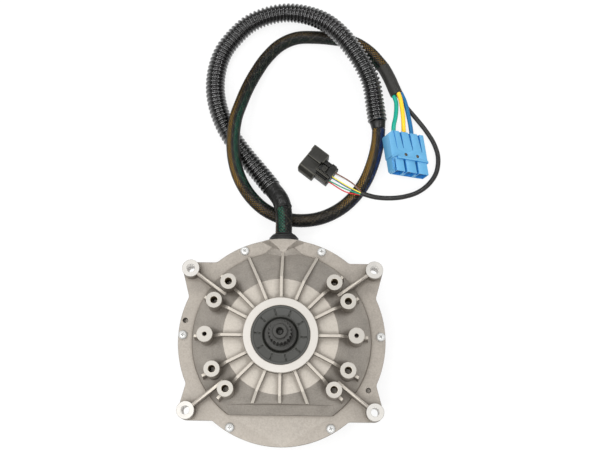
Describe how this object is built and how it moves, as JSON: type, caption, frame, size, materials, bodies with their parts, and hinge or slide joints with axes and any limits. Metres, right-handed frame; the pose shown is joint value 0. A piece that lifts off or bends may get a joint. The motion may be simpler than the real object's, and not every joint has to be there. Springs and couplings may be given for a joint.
{
  "type": "flange motor",
  "caption": "Flat round flange motor with a ribbed, domed cast cover, a splined output shaft, and a loomed and braided wiring harness that ends in a power and a sensor connector.",
  "frame": {"origin": "on the resting face of the rear cover, under the shaft axis", "axes": "+Z along the shaft axis towards its splined end, +Y towards the cable outlet, +X to the right with the cable outlet at the top"},
  "size_m": [0.2623, 0.4675, 0.1156],
  "materials": {
    "cast_front": "sand-cast, light warm grey, machined on the ring and the boss tops",
    "cast_rear": "sand-cast, light warm grey",
    "zinc_screw": "zinc plated",
    "seal_rubber": "dark grey rubber",
    "black_rubber": "matte black rubber",
    "spring_steel": "bare spring steel",
    "bearing_steel": "ground steel",
    "ball_steel": "polished steel",
    "cage_brass": "brass",
    "lamination": "stacked steel sheet",
    "copper_wire": "lacquered copper wire",
    "insulator": "ivory plastic",
    "board": "green circuit board",
    "shaft_steel": "hardened dark steel",
    "hub_steel": "turned steel",
    "magnet": "coated magnet",
    "braid": "black braid, coloured leads show through",
    "tape": "black cloth tape",
    "loom_plastic": "black corrugated plastic, slightly glossy",
    "shrink": "black shrink tube",
    "green_jacket": "green insulation",
    "yellow_jacket": "yellow insulation",
    "blue_jacket": "blue insulation",
    "plug_blue": "light blue moulded plastic",
    "contact_tin": "tin-plated copper",
    "pin_metal": "dark metal",
    "black_cable": "black cable jacket",
    "red_wire": "red insulation",
    "green_wire": "green insulation",
    "yellow_wire": "yellow insulation",
    "blue_wire": "blue insulation",
    "white_wire": "white insulation",
    "brown_wire": "brown insulation",
    "connector_black": "black moulded plastic"
  },
  "bodies": {
    "housing": {"front_cover": "cast_front", "rear_cover": "cast_rear", "joint_ring": "black_rubber", "flange_screws": "zinc_screw", "oil_seal": "seal_rubber", "seal_spring": "spring_steel", "front_bearing_outer_race": "bearing_steel", "front_bearing_clip": "spring_steel", "rear_bearing_outer_race": "bearing_steel", "bearing_washer": "spring_steel", "stator_core": "lamination", "stator_windings": "copper_wire", "winding_insulators": "insulator", "sensor_board": "board", "cable_grommet": "black_rubber", "exit_sleeve": "braid", "loom_start_wrap": "tape", "corrugated_loom": "loom_plastic", "loom_end_tape": "tape", "braided_sleeve": "braid", "sleeve_end_wrap": "shrink", "green_lead": "green_jacket", "yellow_lead": "yellow_jacket", "blue_lead": "blue_jacket", "power_connector": "plug_blue", "power_contacts": "contact_tin", "power_connector_pins": "pin_metal", "sensor_cable": "black_cable", "wire_red": "red_wire", "wire_green": "green_wire", "wire_yellow": "yellow_wire", "wire_blue": "blue_wire", "wire_white": "white_wire", "wire_brown": "brown_wire", "sensor_connector": "connector_black", "sensor_lock": "connector_black", "sensor_wire_seal": "black_rubber"},
    "rotor": {"output_shaft": "shaft_steel", "rotor_hub": "hub_steel", "rotor_key": "hub_steel", "rotor_clip": "spring_steel", "rotor_magnets": "magnet", "front_bearing_inner_race": "bearing_steel", "rear_bearing_inner_race": "bearing_steel"},
    "front_cage": {"front_bearing_balls": "ball_steel", "front_bearing_cage": "cage_brass"},
    "rear_cage": {"rear_bearing_balls": "ball_steel", "rear_bearing_cage": "cage_brass"}
  },
  "joints": [
    {"name": "rotor_spin", "type": "hinge", "parent": "housing", "child": "rotor", "pos_m": [0, 0, 0.05], "axis": [0, 0, 1], "continuous": true},
    {"name": "front_cage_spin", "type": "hinge", "parent": "housing", "child": "front_cage", "pos_m": [0, 0, 0.07], "axis": [0, 0, 1], "continuous": true},
    {"name": "rear_cage_spin", "type": "hinge", "parent": "housing", "child": "rear_cage", "pos_m": [0, 0, 0.0145], "axis": [0, 0, 1], "continuous": true}
  ],
  "couplings": [
    {"joint": "front_cage_spin", "follows": "rotor_spin", "ratio": 0.3965},
    {"joint": "rear_cage_spin", "follows": "rotor_spin", "ratio": 0.3969}
  ]
}
